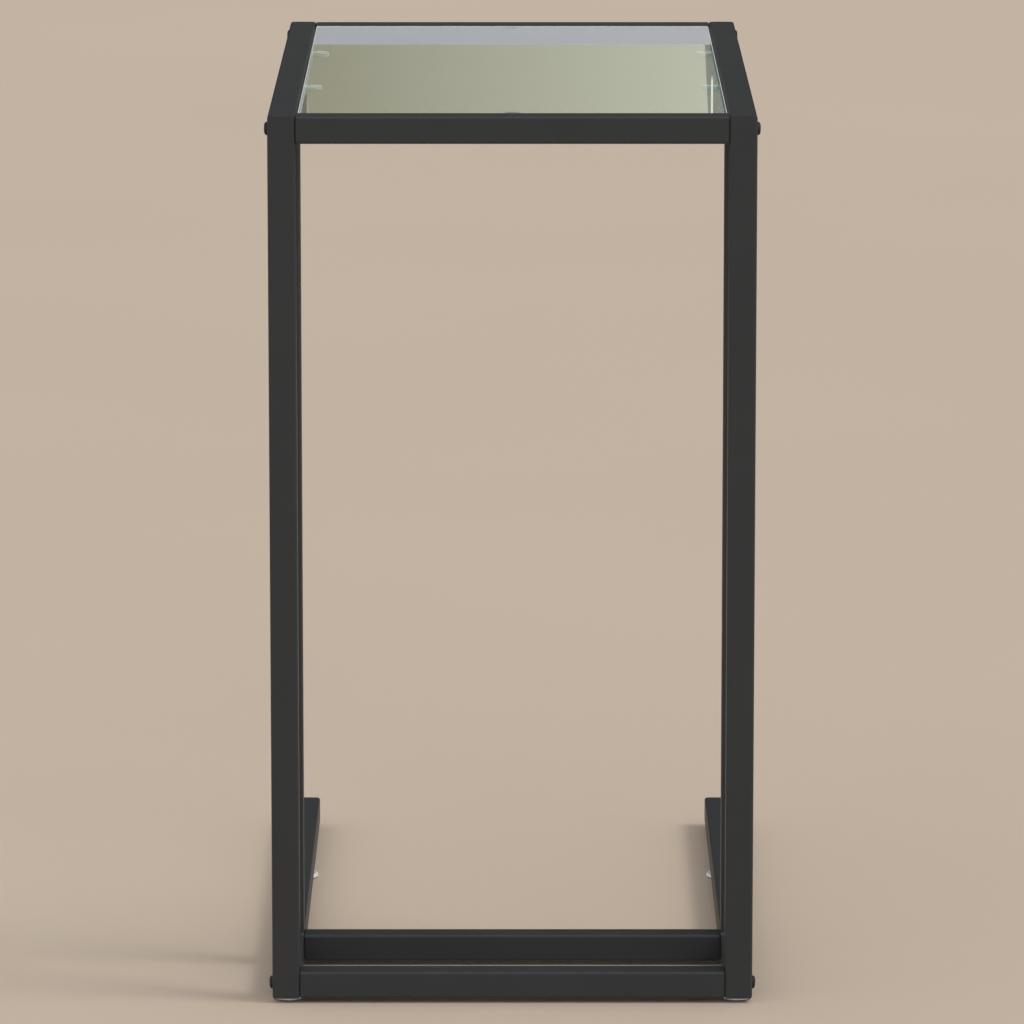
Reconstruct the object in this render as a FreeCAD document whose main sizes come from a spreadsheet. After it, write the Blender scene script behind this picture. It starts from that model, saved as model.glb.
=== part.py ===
"""C shaped side table: a narrow frame of square steel tube with a glass top let into it.

Two welded side frames, each of a front post, a rear post, a top rail and a base rail, are held apart
by four bolted cross rails. The glass lies on soft-sleeved tabs inside the top rails, and the table
stands on four levelling feet that screw into the base rails.

Millimetres. +Z is up, +X is the table's right, and +Y points from the posts to the open side.
The origin is on the floor, under the middle of the table.
"""
import FreeCAD, Part
import math
import os
from types import SimpleNamespace

import Sketcher
from FreeCAD import Placement, Rotation, Vector

SIZES = {
    # whole table
    "table_width": 350.0,
    "table_depth": 565.0,
    "table_height": 652.0,
    # square tube
    "tube_size": 20.0,
    "tube_wall": 1.2,
    "tube_corner": 2.0,
    "rear_post_setback": 110.0,
    # glass top, its tabs and pads
    "glass_thickness": 5.0,
    "glass_gap": 1.0,
    "glass_recess": 0.7,
    "glass_corner": 3.0,
    "glass_arris": 0.6,
    "tab_width": 10.4,
    "tab_reach": 14.2,
    "tab_thickness": 1.5,
    "tab_spacing": 200.0,
    "pad_wall": 0.7,
    "pad_clearance": 0.1,
    "pad_root_gap": 1.5,
    # end caps of the side rails
    "cap_proud": 2.5,
    "cap_dome_radius": 65.0,
    "cap_bolt_gap": 1.0,
    "cap_wall": 1.2,
    "cap_core_gap": 0.8,
    "cap_chamfer": 1.0,
    "cap_fit": 0.05,
    "cap_rib_thickness": 0.8,
    "cap_rib_pitch": 2.2,
    "cap_rib_count": 2,
    # threaded plugs in the ends of the cross rails
    "plug_proud": 0.6,
    "plug_inset": 0.8,
    "plug_chamfer": 1.0,
    "plug_length": 10.0,
    "plug_fit": 0.1,
    # button-head bolts
    "bolt_diameter": 5.0,
    "bolt_engagement": 8.0,
    "bolt_clearance": 0.3,
    "bolt_thread_fit": 0.05,
    "head_diameter": 9.6,
    "head_height": 2.4,
    "head_flat": 5.0,
    "socket_width": 3.0,
    "socket_depth": 1.5,
    # levelling feet
    "foot_height": 3.5,
    "foot_diameter": 23.0,
    "foot_edge": 1.0,
    "foot_bolt_gap": 1.0,
    "rear_foot_setback": 390.0,
    "stem_diameter": 6.0,
    "stem_length": 16.0,
    "stem_fit": 0.05,
    "stem_clearance": 0.3,
    "nut_width": 10.0,
    "nut_height": 5.0,
}

# the signs of X on the two sides
LEFT, RIGHT = range(-1, 2, 2)
SIDE_NAMES = {LEFT: "left", RIGHT: "right"}

# the numbers by which constraints know a sketch's own axes and the points of an edge
VERTICAL_AXIS, HORIZONTAL_AXIS = range(-2, 0)
START, END, CENTRE = range(1, 4)
ORIGIN_POINT = (HORIZONTAL_AXIS, START)

# marks a corner of an outline that an arc leaves, with its centre on the upright axis
DOMED = "domed"
QUARTER_TURN = math.pi / 2


# ---------------------------------------------------------------- lengths and the sheet

class Length:
    """A length kept twice: as a formula on the sheet's cells and as its number of millimetres."""

    def __init__(self, formula, number):
        self.formula = formula
        self.number = number

    def joined(self, sign, other, number):
        return Length(f"({self.formula} {sign} {other.formula})", number)

    def __add__(self, other):
        other = as_length(other)
        return self.joined("+", other, self.number + other.number)

    def __sub__(self, other):
        other = as_length(other)
        return self.joined("-", other, self.number - other.number)

    def __mul__(self, other):
        other = as_length(other)
        return self.joined("*", other, self.number * other.number)

    def __truediv__(self, other):
        other = as_length(other)
        return self.joined("/", other, self.number / other.number)

    def __neg__(self):
        return self * -1


def as_length(value):
    """A plain number as a Length; a Length unchanged."""
    return value if isinstance(value, Length) else Length(f"({value})", value)


def make_sheet(doc):
    """The sheet of driving sizes, one named cell each."""
    sheet = doc.addObject("Spreadsheet::Sheet", "Sizes")
    for row, (alias, number) in enumerate(SIZES.items(), start=1):
        sheet.set(f"A{row}", alias)
        sheet.set(f"B{row}", str(number))
        sheet.setAlias(f"B{row}", alias)
    doc.recompute()


doc = FreeCAD.newDocument("SideTable")
make_sheet(doc)
size = SimpleNamespace(**{alias: Length(f"Sizes.{alias}", number) for alias, number in SIZES.items()})

ZERO = as_length(0)
HALF_TUBE = size.tube_size / 2
TUBE_BORE = size.tube_size - size.tube_wall * 2
HALF_WIDTH = size.table_width / 2
INNER_SIDE = HALF_WIDTH - size.tube_size
FRONT = -size.table_depth / 2
TUBE_END = size.table_depth / 2 - size.cap_proud
SIDE_RAIL_LENGTH = size.table_depth - size.cap_proud
BASE_LEVEL = size.foot_height + HALF_TUBE
TOP_LEVEL = size.table_height - HALF_TUBE
REAR_POST_CENTRE = size.rear_post_setback + HALF_TUBE

# the front feet stand just behind the bolts of the base front rail, so that stem and bolt pass
FRONT_FOOT_SETBACK = HALF_TUBE + size.bolt_diameter / 2 + size.foot_bolt_gap + size.stem_diameter / 2
FOOT_SETBACKS = {"front": FRONT_FOOT_SETBACK, "rear": size.rear_foot_setback}
# the feet are wider than the tube and stand flush with its outer side
FOOT_OFFSET = size.foot_diameter / 2 - HALF_TUBE

TAB_TOP = size.table_height - size.glass_recess - size.glass_thickness - size.pad_wall
GLASS_MIDDLE = (FRONT + TUBE_END) / 2

parts = []


# ---------------------------------------------------------------- document helpers

def new_body(label):
    body = doc.addObject("PartDesign::Body", label)
    body.Label = label
    return body


def place(item, x, y, z, rotation=Rotation()):
    """Put an item at a point that follows the sheet, turned by a fixed rotation."""
    point = (as_length(x), as_length(y), as_length(z))
    item.Placement = Placement(Vector(*(length.number for length in point)), rotation)
    for axis, length in zip("xyz", point):
        item.setExpression(f".Placement.Base.{axis}", length.formula)


def keep(item):
    """Mark an item as a finished sub-part; its label names its file."""
    parts.append(item)
    return item


def keep_group(label, members):
    """Keep several separate, identical pieces together as one sub-part."""
    group = doc.addObject("Part::Compound", label)
    group.Label = label
    group.Links = members
    return keep(group)


def bind(item, name, length):
    """Give a property its number and tie it to the sheet."""
    setattr(item, name, length.number)
    item.setExpression(name, length.formula)


def edge_names(shape, wanted):
    """The names of a shape's edges for which wanted(edge) is true."""
    return [f"Edge{number}" for number, edge in enumerate(shape.Edges, start=1) if wanted(edge)]


def lies_at(edge, height):
    """True where the whole edge lies at one height."""
    box = edge.BoundBox
    return abs(box.ZMin - height.number) < 0.001 and abs(box.ZMax - height.number) < 0.001


# ---------------------------------------------------------------- sketch helpers

def origin_feature(body, role):
    return next(feature for feature in body.Origin.OriginFeatures if feature.Role == role)


def new_sketch(body, name, plane, x=ZERO, y=ZERO, z=ZERO):
    """A sketch on one of the body's own planes, moved in it by x and y and along its normal by z."""
    sketch = body.newObject("Sketcher::SketchObject", name)
    sketch.AttachmentSupport = (origin_feature(body, plane), [""])
    sketch.MapMode = "FlatFace"
    sketch.AttachmentOffset = Placement(Vector(x.number, y.number, z.number), Rotation())
    for axis, length in zip("xyz", (x, y, z)):
        if length is not ZERO:
            sketch.setExpression(f".AttachmentOffset.Base.{axis}", length.formula)
    return sketch


def dimension(sketch, name, kind, places, length):
    """A named dimension of a sketch, tied to the sheet."""
    index = sketch.addConstraint(Sketcher.Constraint(kind, *places, length.number))
    sketch.renameConstraint(index, name)
    sketch.setExpression(f"Constraints.{name}", length.formula)


def constrain(sketch, kind, *places):
    sketch.addConstraint(Sketcher.Constraint(kind, *places))


def rounded_rectangle(sketch, width, height, corner):
    """A rectangle with rounded corners, centred on the sketch's origin."""
    radius = corner.number
    right = width.number / 2 - radius
    top = height.number / 2 - radius
    centres = [Vector(right, -top, 0), Vector(right, top, 0),
               Vector(-right, top, 0), Vector(-right, -top, 0)]
    outward = [Vector(0, -radius, 0), Vector(radius, 0, 0), Vector(0, radius, 0), Vector(-radius, 0, 0)]
    lines = []
    arcs = []
    for index, here in enumerate(centres):
        before = centres[index - 1]
        lines.append(sketch.addGeometry(Part.LineSegment(before + outward[index], here + outward[index])))
        circle = Part.Circle(here, Vector(0, 0, 1), radius)
        bend = Part.ArcOfCircle(circle, (index - 1) * QUARTER_TURN, index * QUARTER_TURN)
        arcs.append(sketch.addGeometry(bend))
    for index in range(4):
        constrain(sketch, "Tangent", lines[index], END, arcs[index], START)
        constrain(sketch, "Tangent", arcs[index - 1], END, lines[index], START)
    bottom_line, right_line, top_line, left_line = lines
    constrain(sketch, "Horizontal", bottom_line)
    constrain(sketch, "Horizontal", top_line)
    constrain(sketch, "Vertical", right_line)
    constrain(sketch, "Vertical", left_line)
    for arc in arcs[1:]:
        constrain(sketch, "Equal", arcs[0], arc)
    constrain(sketch, "Symmetric", bottom_line, START, top_line, START, *ORIGIN_POINT)
    dimension(sketch, "width", "DistanceX", (left_line, START, right_line, START), width)
    dimension(sketch, "height", "DistanceY", (bottom_line, START, top_line, START), height)
    dimension(sketch, "corner", "Radius", (arcs[0],), corner)


def centred_circle(sketch, diameter):
    """A circle on the sketch's origin."""
    circle = sketch.addGeometry(Part.Circle(Vector(), Vector(0, 0, 1), diameter.number / 2))
    constrain(sketch, "Coincident", circle, CENTRE, *ORIGIN_POINT)
    dimension(sketch, "diameter", "Diameter", (circle,), diameter)


def hexagon(sketch, across_flats):
    """A regular hexagon on the sketch's origin, with two flats upright."""
    sine_60 = 3 ** 0.5 / 2
    corner_radius = across_flats / (2 * sine_60)
    radius = corner_radius.number
    rim = sketch.addGeometry(Part.Circle(Vector(), Vector(0, 0, 1), radius), True)
    constrain(sketch, "Coincident", rim, CENTRE, *ORIGIN_POINT)
    points = [Vector(sine_60 * radius, -radius / 2, 0), Vector(sine_60 * radius, radius / 2, 0),
              Vector(0, radius, 0), Vector(-sine_60 * radius, radius / 2, 0),
              Vector(-sine_60 * radius, -radius / 2, 0), Vector(0, -radius, 0)]
    ends = points[1:] + points[:1]
    lines = [sketch.addGeometry(Part.LineSegment(start, end)) for start, end in zip(points, ends)]
    for index, line in enumerate(lines):
        constrain(sketch, "Coincident", line, START, lines[index - 1], END)
        constrain(sketch, "PointOnObject", line, START, rim)
    for line in lines[1:]:
        constrain(sketch, "Equal", lines[0], line)
    constrain(sketch, "Vertical", lines[0])
    dimension(sketch, "corner_radius", "Radius", (rim,), corner_radius)


def fix_point(sketch, edge, end, x, y):
    """Hold one end of an edge at x and y from the sketch's origin."""
    for kind, axis, length in (("DistanceX", VERTICAL_AXIS, x), ("DistanceY", HORIZONTAL_AXIS, y)):
        if length is ZERO:
            constrain(sketch, "PointOnObject", edge, end, axis)
        else:
            dimension(sketch, f"edge_{edge}_{kind}", kind, (*ORIGIN_POINT, edge, end), length)


def dome_arc(start, end):
    """The arc from start to end whose centre lies on the sketch's upright axis."""
    centre_y = (start.dot(start) - end.dot(end)) / (2 * (start.y - end.y))
    centre = Vector(0, centre_y, 0)
    halfway = (start - centre + end - centre).normalize() * (start - centre).Length
    return Part.Arc(start, centre + halfway, end)


def outline(sketch, corners):
    """A closed outline through corners, each an x and y length, taken anticlockwise.

    A line leaves each corner, or, where DOMED follows its lengths, an arc about the upright axis.
    """
    points = [Vector(x.number, y.number, 0) for x, y, *mark in corners]
    edges = []
    for start, end, corner in zip(points, points[1:] + points[:1], corners):
        shape = dome_arc(start, end) if DOMED in corner else Part.LineSegment(start, end)
        edges.append(sketch.addGeometry(shape))
    for before, edge, corner in zip(edges[-1:] + edges, edges, corners):
        constrain(sketch, "Coincident", before, END, edge, START)
        fix_point(sketch, edge, START, *corner[:2])
        if DOMED in corner:
            constrain(sketch, "PointOnObject", edge, CENTRE, VERTICAL_AXIS)


def square(width):
    """The corners of a square outline about the sketch's origin."""
    half = width / 2
    return [(half, -half), (half, half), (-half, half), (-half, -half)]


def cut_square(width, cut):
    """The corners of a square outline whose own corners are cut off."""
    half = width / 2
    inner = half - cut
    return [(half, -inner), (half, inner), (inner, half), (-inner, half),
            (-half, inner), (-half, -inner), (-inner, -half), (inner, -half)]


def above_ball(sketch, radius, half_span, height):
    """What lies over the crest of a ball about the sketch's origin, up to a height over that origin."""
    end_height = math.sqrt(radius.number ** 2 - half_span.number ** 2)
    right = Vector(half_span.number, end_height, 0)
    left = Vector(-half_span.number, end_height, 0)
    top_left = Vector(-half_span.number, height.number, 0)
    top_right = Vector(half_span.number, height.number, 0)
    crest = sketch.addGeometry(Part.Arc(right, Vector(0, radius.number, 0), left))
    left_side = sketch.addGeometry(Part.LineSegment(left, top_left))
    top = sketch.addGeometry(Part.LineSegment(top_left, top_right))
    right_side = sketch.addGeometry(Part.LineSegment(top_right, right))
    constrain(sketch, "Coincident", crest, END, left_side, START)
    constrain(sketch, "Coincident", left_side, END, top, START)
    constrain(sketch, "Coincident", top, END, right_side, START)
    constrain(sketch, "Coincident", right_side, END, crest, START)
    constrain(sketch, "Coincident", crest, CENTRE, *ORIGIN_POINT)
    constrain(sketch, "Vertical", left_side)
    constrain(sketch, "Vertical", right_side)
    constrain(sketch, "Symmetric", top, START, top, END, VERTICAL_AXIS)
    dimension(sketch, "radius", "Radius", (crest,), radius)
    fix_point(sketch, top, END, half_span, height)


def round_ended_strip(sketch, reach, width):
    """A strip that leaves the upright axis to the right and ends in a half circle."""
    half = width.number / 2
    turn = reach.number - half
    lower = sketch.addGeometry(Part.LineSegment(Vector(0, -half, 0), Vector(turn, -half, 0)))
    nose_circle = Part.Circle(Vector(turn, 0, 0), Vector(0, 0, 1), half)
    nose = sketch.addGeometry(Part.ArcOfCircle(nose_circle, -QUARTER_TURN, QUARTER_TURN))
    upper = sketch.addGeometry(Part.LineSegment(Vector(turn, half, 0), Vector(0, half, 0)))
    root = sketch.addGeometry(Part.LineSegment(Vector(0, half, 0), Vector(0, -half, 0)))
    constrain(sketch, "Tangent", lower, END, nose, START)
    constrain(sketch, "Tangent", nose, END, upper, START)
    constrain(sketch, "Coincident", upper, END, root, START)
    constrain(sketch, "Coincident", root, END, lower, START)
    constrain(sketch, "Horizontal", lower)
    constrain(sketch, "Horizontal", upper)
    constrain(sketch, "PointOnObject", root, START, VERTICAL_AXIS)
    constrain(sketch, "PointOnObject", root, END, VERTICAL_AXIS)
    constrain(sketch, "PointOnObject", nose, CENTRE, HORIZONTAL_AXIS)
    dimension(sketch, "width", "DistanceY", (lower, START, upper, END), width)
    dimension(sketch, "turn", "DistanceX", (*ORIGIN_POINT, nose, CENTRE), reach - width / 2)


# ---------------------------------------------------------------- feature helpers

def pad(body, sketch, length, downward=False):
    feature = body.newObject("PartDesign::Pad", "Pad")
    feature.Profile = sketch
    feature.Reversed = downward
    bind(feature, "Length", length)
    doc.recompute()
    return feature


def check_cut(feature, volume_before):
    """A cut that points away from its solid removes nothing and shows no error, so compare volumes."""
    doc.recompute()
    if feature.Shape.Volume > volume_before - 0.001:
        raise ValueError(f"{feature.Label} in {feature.getParentGeoFeatureGroup().Label} cuts nothing")


def cut_through(body, sketch, both_ways=True):
    """Cut a sketch right through, to both sides of its plane or only along its normal."""
    volume_before = body.Shape.Volume
    feature = body.newObject("PartDesign::Pocket", "ThroughCut")
    feature.Profile = sketch
    feature.Type = "ThroughAll"
    if both_ways:
        feature.SideType = "Symmetric"
    else:
        feature.Reversed = True
    check_cut(feature, volume_before)


def cut_pocket(body, sketch, depth, upward=False):
    """Cut a sketch to a depth, against its normal or, upward, along it."""
    volume_before = body.Shape.Volume
    feature = body.newObject("PartDesign::Pocket", "Pocket")
    feature.Profile = sketch
    feature.Reversed = upward
    bind(feature, "Length", depth)
    check_cut(feature, volume_before)


def revolve(body, sketch):
    feature = body.newObject("PartDesign::Revolution", "Revolution")
    feature.Profile = sketch
    feature.ReferenceAxis = (sketch, ["V_Axis"])
    doc.recompute()
    return feature


def crown(body, height, radius, width):
    """Dome the top of a block of one height and width: cut away all that stands outside a ball.

    The ball's crest is the middle of the block's top, and its poles lie level, clear of the block.
    """
    volume_before = body.Shape.Volume
    sketch = new_sketch(body, "Ball", "XZ_Plane", y=height - radius)
    above_ball(sketch, radius, width, radius + height)
    feature = body.newObject("PartDesign::Groove", "Crown")
    feature.Profile = sketch
    feature.ReferenceAxis = (sketch, ["H_Axis"])
    feature.Angle = 90
    feature.Midplane = True
    check_cut(feature, volume_before)


# ---------------------------------------------------------------- square tubes

def square_tube(label, length):
    """A hollow tube along the body's own Z, centred on it."""
    body = new_body(label)
    section = new_sketch(body, "Section", "XY_Plane")
    rounded_rectangle(section, size.tube_size, size.tube_size, size.tube_corner)
    outline(section, square(TUBE_BORE))
    pad(body, section, length)
    return body


def mitre(body, end_height, upward):
    """Cut a tube's end at 45 degrees, leaving its -Y face long."""
    overrun = size.tube_size / 4
    leg = size.tube_size + overrun * 2
    corner_height = end_height - overrun if upward else end_height + overrun
    sketch = new_sketch(body, "Mitre", "YZ_Plane", HALF_TUBE + overrun, corner_height)
    if upward:
        outline(sketch, [(ZERO, ZERO), (ZERO, leg), (-leg, ZERO)])
    else:
        outline(sketch, [(ZERO, ZERO), (-leg, ZERO), (ZERO, -leg)])
    cut_through(body, sketch)


def bolt_hole(body, height):
    """A clearance hole across a tube, through both side walls."""
    sketch = new_sketch(body, "BoltHole", "YZ_Plane", ZERO, height)
    centred_circle(sketch, size.bolt_diameter + size.bolt_clearance * 2)
    cut_through(body, sketch)


def foot_hole(body, side, height):
    """A hole for a foot's stem through the wall that faces the floor."""
    sketch = new_sketch(body, "FootHole", "XZ_Plane", FOOT_OFFSET * side, height)
    centred_circle(sketch, size.stem_diameter + size.stem_clearance * 2)
    cut_through(body, sketch, both_ways=False)


# how a tube's own Z, which is its length, and its long mitred face lie in the table
LYING_FACE_UP = Rotation(Vector(1, 0, 0), -90)
LYING_FACE_DOWN = Rotation(Vector(0, 1, 1), 180)
ALONG_WIDTH = Rotation(Vector(0, 1, 0), 90)


def make_side_frame(side):
    """One side frame: a front post mitred into the top and base rails, and a rear post between them."""
    name = SIDE_NAMES[side]
    x = (HALF_WIDTH - HALF_TUBE) * side
    post_height = size.table_height - size.foot_height

    front_post = square_tube(f"{name}_front_post", post_height)
    mitre(front_post, ZERO, upward=True)
    mitre(front_post, post_height, upward=False)
    bolt_hole(front_post, HALF_TUBE)
    bolt_hole(front_post, post_height - HALF_TUBE)
    place(keep(front_post), x, FRONT + HALF_TUBE, size.foot_height)

    rear_post = square_tube(f"{name}_rear_post", post_height - size.tube_size * 2)
    place(keep(rear_post), x, FRONT + REAR_POST_CENTRE, size.foot_height + size.tube_size)

    top_rail = square_tube(f"{name}_top_rail", SIDE_RAIL_LENGTH)
    mitre(top_rail, ZERO, upward=True)
    bolt_hole(top_rail, HALF_TUBE)
    bolt_hole(top_rail, SIDE_RAIL_LENGTH - HALF_TUBE)
    place(keep(top_rail), x, FRONT, TOP_LEVEL, LYING_FACE_UP)

    base_rail = square_tube(f"{name}_base_rail", SIDE_RAIL_LENGTH)
    mitre(base_rail, ZERO, upward=True)
    bolt_hole(base_rail, HALF_TUBE)
    bolt_hole(base_rail, REAR_POST_CENTRE)
    for setback in FOOT_SETBACKS.values():
        foot_hole(base_rail, side, setback)
    place(keep(base_rail), x, FRONT, BASE_LEVEL, LYING_FACE_DOWN)


# ---------------------------------------------------------------- cross rails, plugs and bolts

def make_plug(label):
    """A threaded plug: a block inside the tube's end with a flange that seats on the side frame."""
    body = new_body(label)
    flange = new_sketch(body, "Flange", "XY_Plane")
    outline(flange, cut_square(size.tube_size - size.plug_inset * 2, size.plug_chamfer))
    pad(body, flange, size.plug_proud)
    block = new_sketch(body, "Block", "XY_Plane")
    outline(block, cut_square(TUBE_BORE - size.plug_fit * 2, size.plug_chamfer))
    pad(body, block, size.plug_length, downward=True)
    thread = new_sketch(body, "Thread", "XY_Plane")
    centred_circle(thread, size.bolt_diameter + size.bolt_thread_fit * 2)
    cut_through(body, thread)
    return body


def make_bolt(label):
    """A button-head bolt with a hexagon socket; its head's seat is at the body's origin."""
    body = new_body(label)
    radius = size.bolt_diameter / 2
    tip = -(size.tube_size + size.plug_proud + size.bolt_engagement)
    profile = new_sketch(body, "Profile", "XZ_Plane")
    outline(profile, [
        (ZERO, tip),
        (radius, tip),
        (radius, ZERO),
        (size.head_diameter / 2, ZERO, DOMED),
        (size.head_flat / 2, size.head_height),
        (ZERO, size.head_height),
    ])
    revolve(body, profile)
    socket = new_sketch(body, "Socket", "XY_Plane", z=size.head_height)
    hexagon(socket, size.socket_width)
    cut_pocket(body, socket, size.socket_depth)
    return body


def make_cross_rail(name, y, z):
    """A cross rail between the side frames, with a plug and a bolt at each end."""
    half_length = INNER_SIDE - size.plug_proud
    rail = square_tube(f"{name}_rail", half_length * 2)
    place(keep(rail), -half_length, y, z, ALONG_WIDTH)
    plugs = []
    bolts = []
    for side, side_name in SIDE_NAMES.items():
        outward = Rotation(Vector(0, 1, 0), 90 * side)
        plug = make_plug(f"{name}_plug_{side_name}")
        place(plug, half_length * side, y, z, outward)
        plugs.append(plug)
        bolt = make_bolt(f"{name}_bolt_{side_name}")
        place(bolt, HALF_WIDTH * side, y, z, outward)
        bolts.append(bolt)
    keep_group(f"{name}_plugs", plugs)
    keep_group(f"{name}_bolts", bolts)


# ---------------------------------------------------------------- end caps

def make_end_cap(label, side, z):
    """A push-in cap: a domed face on a hollow core, with ribs that grip the tube's bore."""
    body = new_body(label)
    face = new_sketch(body, "Face", "XY_Plane")
    rounded_rectangle(face, size.tube_size, size.tube_size, size.tube_corner)
    pad(body, face, size.cap_proud)
    crown(body, size.cap_proud, size.cap_dome_radius, size.tube_size)

    core_width = TUBE_BORE - size.cap_core_gap * 2
    core_bore = core_width - size.cap_wall * 2
    core_length = HALF_TUBE - size.bolt_diameter / 2 - size.cap_bolt_gap
    core = new_sketch(body, "Core", "XY_Plane")
    outline(core, cut_square(core_width, size.cap_chamfer))
    pad(body, core, core_length, downward=True)
    bore = new_sketch(body, "Bore", "XY_Plane", z=-core_length)
    outline(bore, cut_square(core_bore, size.cap_chamfer))
    cut_pocket(body, bore, core_length, upward=True)

    rib_sketch = new_sketch(body, "Rib", "XY_Plane", z=-size.cap_rib_pitch)
    outline(rib_sketch, cut_square(TUBE_BORE - size.cap_fit * 2, size.cap_chamfer))
    outline(rib_sketch, cut_square(core_width - size.cap_wall, size.cap_chamfer))
    rib = pad(body, rib_sketch, size.cap_rib_thickness, downward=True)
    ribs = body.newObject("PartDesign::LinearPattern", "Ribs")
    ribs.Originals = [rib]
    ribs.Direction = (origin_feature(body, "Z_Axis"), [""])
    ribs.Reversed = True
    ribs.Mode = "Spacing"
    bind(ribs, "Offset", size.cap_rib_pitch)
    ribs.Occurrences = int(size.cap_rib_count.number)
    ribs.setExpression("Occurrences", size.cap_rib_count.formula)
    body.Tip = ribs
    doc.recompute()
    place(keep(body), (HALF_WIDTH - HALF_TUBE) * side, TUBE_END, z, LYING_FACE_UP)


# ---------------------------------------------------------------- glass, tabs and pads

def make_glass():
    """The pane, with ground edges, let into the frame of the top rails."""
    width = (INNER_SIDE - size.glass_gap) * 2
    depth = SIDE_RAIL_LENGTH - (size.tube_size + size.glass_gap) * 2
    body = new_body("glass_top")
    sketch = new_sketch(body, "Pane", "XY_Plane")
    rounded_rectangle(sketch, width, depth, size.glass_corner)
    pane = pad(body, sketch, size.glass_thickness)
    faces = edge_names(pane.Shape, lambda edge: lies_at(edge, ZERO) or lies_at(edge, size.glass_thickness))
    arris = body.newObject("PartDesign::Chamfer", "Arris")
    arris.Base = (pane, faces)
    bind(arris, "Size", size.glass_arris)
    place(keep(body), ZERO, GLASS_MIDDLE, size.table_height - size.glass_recess - size.glass_thickness)


def make_strip(label, reach, width, thickness, x, y, z, turn):
    """A flat strip with a round end; turn is the direction it points in, in degrees."""
    body = new_body(label)
    sketch = new_sketch(body, "Strip", "XY_Plane")
    round_ended_strip(sketch, reach, width)
    pad(body, sketch, thickness)
    place(body, x, y, z, Rotation(Vector(0, 0, 1), turn))
    return body


def make_tab(name, x, y, turn):
    """A tab welded by its root to a rail."""
    level = TAB_TOP - size.tab_thickness
    return make_strip(f"{name}_tab", size.tab_reach, size.tab_width, size.tab_thickness, x, y, level, turn)


def make_pad(name, x, y, turn):
    """A soft sleeve with a closed round end, pulled over the tab for the glass to lie on.

    The tab's top bears on its upper wall; elsewhere the bore is a little larger than the tab.
    """
    reach = size.tab_reach - size.pad_root_gap + size.pad_clearance
    width = size.tab_width + size.pad_clearance * 2
    height = size.tab_thickness + size.pad_clearance
    both_walls = size.pad_wall * 2
    level = TAB_TOP - height - size.pad_wall
    outer_sizes = (reach + size.pad_wall, width + both_walls, height + both_walls)
    body = make_strip(f"{name}_pad", *outer_sizes, x, y, level, turn)
    bore = new_sketch(body, "Bore", "XY_Plane", z=size.pad_wall)
    round_ended_strip(bore, reach, width)
    cut_pocket(body, bore, height, upward=True)
    return body


def make_glass_supports():
    """Two tabs on each side rail and one on each end rail, each with its pad."""
    pads = []
    for side, side_name in SIDE_NAMES.items():
        tabs = []
        turn = 0 if side == LEFT else 180
        pad_root = (INNER_SIDE - size.pad_root_gap) * side
        for end_name, end in (("front", -1), ("rear", 1)):
            name = f"{side_name}_{end_name}"
            y = GLASS_MIDDLE + size.tab_spacing / 2 * end
            tabs.append(make_tab(name, INNER_SIDE * side, y, turn))
            pads.append(make_pad(name, pad_root, y, turn))
        keep_group(f"{side_name}_glass_tabs", tabs)
    front_root = FRONT + size.tube_size
    rear_root = TUBE_END - size.tube_size
    keep(make_tab("front_glass", ZERO, front_root, 90))
    keep(make_tab("rear_glass", ZERO, rear_root, -90))
    pads.append(make_pad("front", ZERO, front_root + size.pad_root_gap, 90))
    pads.append(make_pad("rear", ZERO, rear_root - size.pad_root_gap, -90))
    keep_group("glass_pads", pads)


# ---------------------------------------------------------------- levelling feet

def make_glide(label):
    """The foot's disc, with a chamfered edge."""
    body = new_body(label)
    circle = new_sketch(body, "Circle", "XY_Plane")
    centred_circle(circle, size.foot_diameter)
    disc = pad(body, circle, size.foot_height)
    bottom_rim = edge_names(disc.Shape, lambda edge: lies_at(edge, ZERO))
    edge = body.newObject("PartDesign::Chamfer", "BrokenEdge")
    edge.Base = (disc, bottom_rim)
    bind(edge, "Size", size.foot_edge)
    return body


def make_stem(label):
    """The foot's stem, which stands on the disc and screws into the nut."""
    body = new_body(label)
    circle = new_sketch(body, "Circle", "XY_Plane")
    centred_circle(circle, size.stem_diameter)
    pad(body, circle, size.stem_length)
    return body


def make_foot_nut(label):
    """A hexagon nut, welded to the floor of the base rail's bore over the stem's hole."""
    body = new_body(label)
    sketch = new_sketch(body, "Hexagon", "XY_Plane")
    hexagon(sketch, size.nut_width)
    pad(body, sketch, size.nut_height)
    thread = new_sketch(body, "Thread", "XY_Plane")
    centred_circle(thread, size.stem_diameter + size.stem_fit * 2)
    cut_through(body, thread)
    return body


def make_feet():
    """A levelling foot under each end of each base rail, each with its nut."""
    nuts = []
    for side, name in SIDE_NAMES.items():
        for end_name, setback in FOOT_SETBACKS.items():
            x = (HALF_WIDTH - size.foot_diameter / 2) * side
            y = FRONT + setback
            place(keep(make_glide(f"{name}_{end_name}_glide")), x, y, ZERO)
            place(keep(make_stem(f"{name}_{end_name}_stem")), x, y, size.foot_height)
            nut = make_foot_nut(f"{name}_{end_name}_nut")
            place(nut, x, y, size.foot_height + size.tube_wall)
            nuts.append(nut)
    keep_group("foot_nuts", nuts)


# ---------------------------------------------------------------- the table

for table_side in (LEFT, RIGHT):
    make_side_frame(table_side)

make_cross_rail("top_front", FRONT + HALF_TUBE, TOP_LEVEL)
make_cross_rail("top_rear", TUBE_END - HALF_TUBE, TOP_LEVEL)
make_cross_rail("base_front", FRONT + HALF_TUBE, BASE_LEVEL)
make_cross_rail("base_rear", FRONT + REAR_POST_CENTRE, BASE_LEVEL)

for table_side, side_word in SIDE_NAMES.items():
    make_end_cap(f"{side_word}_top_cap", table_side, TOP_LEVEL)
    make_end_cap(f"{side_word}_base_cap", table_side, BASE_LEVEL)

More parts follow.
